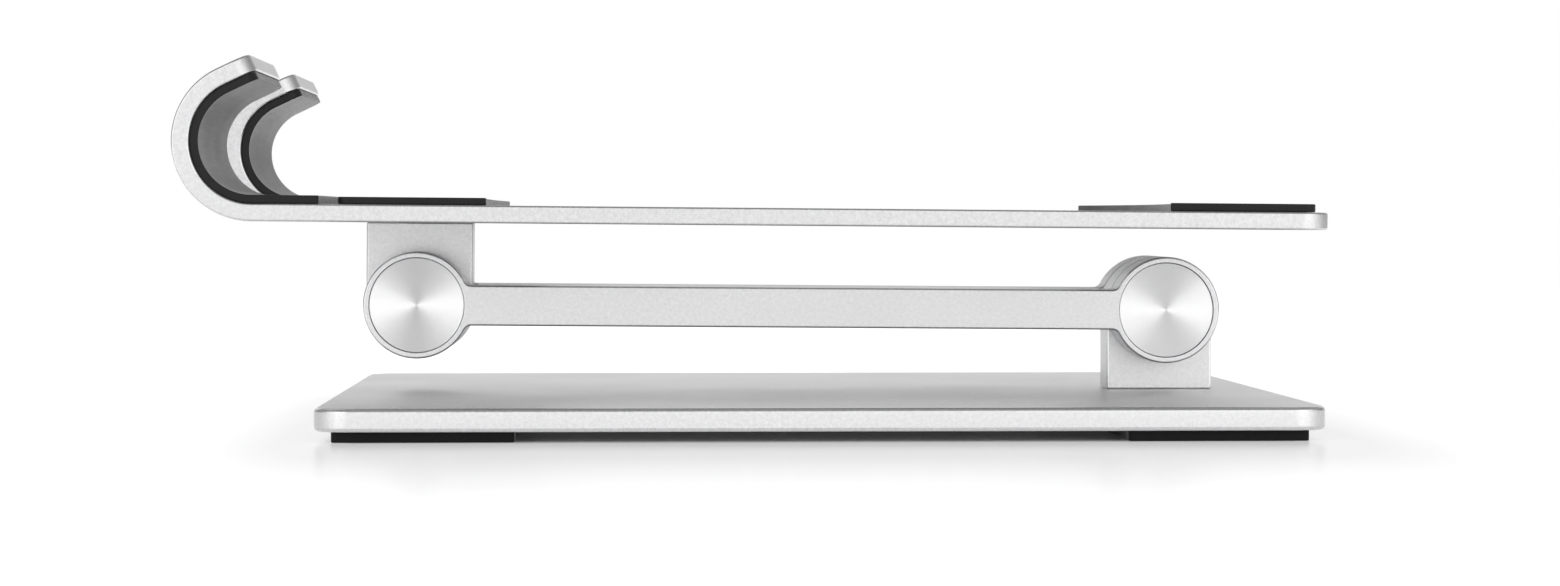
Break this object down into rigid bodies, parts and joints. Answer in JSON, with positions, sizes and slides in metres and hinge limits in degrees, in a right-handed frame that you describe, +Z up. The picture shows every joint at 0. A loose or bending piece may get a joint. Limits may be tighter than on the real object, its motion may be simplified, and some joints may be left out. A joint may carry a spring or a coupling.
{
  "type": "laptop stand",
  "caption": "Folding aluminium laptop stand: flat base on rubber feet, double-hinged arm, and a padded plate with front hooks that hold the laptop's edge.",
  "frame": {"origin": "on the desk, under the middle of the folded stand's box", "axes": "+X from the front hooks to the rear hinge post, +Y across the width, +Z up"},
  "size_m": [0.2616, 0.2, 0.0871],
  "materials": {
    "anodised_aluminium": "bead-blasted, clear anodised",
    "spun_aluminium": "lathe-spun face with fine rings",
    "fastener_steel": "zinc plated",
    "washer_polymer": "moulded, matt",
    "foot_rubber": "moulded, matt",
    "pad_rubber": "die-cut soft rubber, fine grain"
  },
  "bodies": {
    "base": {"base_plate": "anodised_aluminium", "base_post": "anodised_aluminium", "foot_front_near": "foot_rubber", "foot_front_far": "foot_rubber", "foot_rear_near": "foot_rubber", "foot_rear_far": "foot_rubber", "post_screw_front": "fastener_steel", "post_screw_rear": "fastener_steel"},
    "arm": {"arm": "anodised_aluminium", "base_hinge_axle": "fastener_steel", "base_hinge_axle_nut": "fastener_steel", "base_hinge_disc_spring_inner": "fastener_steel", "base_hinge_disc_spring_outer": "fastener_steel", "base_hinge_friction_washer_near": "washer_polymer", "base_hinge_friction_washer_far": "washer_polymer", "base_hinge_cap_near": "spun_aluminium", "base_hinge_cap_far": "spun_aluminium", "plate_hinge_axle": "fastener_steel", "plate_hinge_axle_nut": "fastener_steel", "plate_hinge_disc_spring_inner": "fastener_steel", "plate_hinge_disc_spring_outer": "fastener_steel", "plate_hinge_friction_washer_near": "washer_polymer", "plate_hinge_friction_washer_far": "washer_polymer", "plate_hinge_cap_near": "spun_aluminium", "plate_hinge_cap_far": "spun_aluminium"},
    "plate": {"top_plate": "anodised_aluminium", "plate_bracket": "anodised_aluminium", "plate_screw_front": "fastener_steel", "plate_screw_rear": "fastener_steel", "hook_pad_near": "pad_rubber", "hook_pad_far": "pad_rubber", "front_pad": "pad_rubber", "rear_pad": "pad_rubber"}
  },
  "joints": [
    {"name": "arm_lift", "type": "hinge", "parent": "base", "child": "arm", "pos_m": [0.1031, 0, 0.0277], "axis": [0, 1, 0], "range_deg": [0, 60]},
    {"name": "plate_tilt", "type": "hinge", "parent": "arm", "child": "plate", "pos_m": [-0.07989, 0, 0.02906], "axis": [0, 1, 0], "range_deg": [-60, 0]}
  ]
}
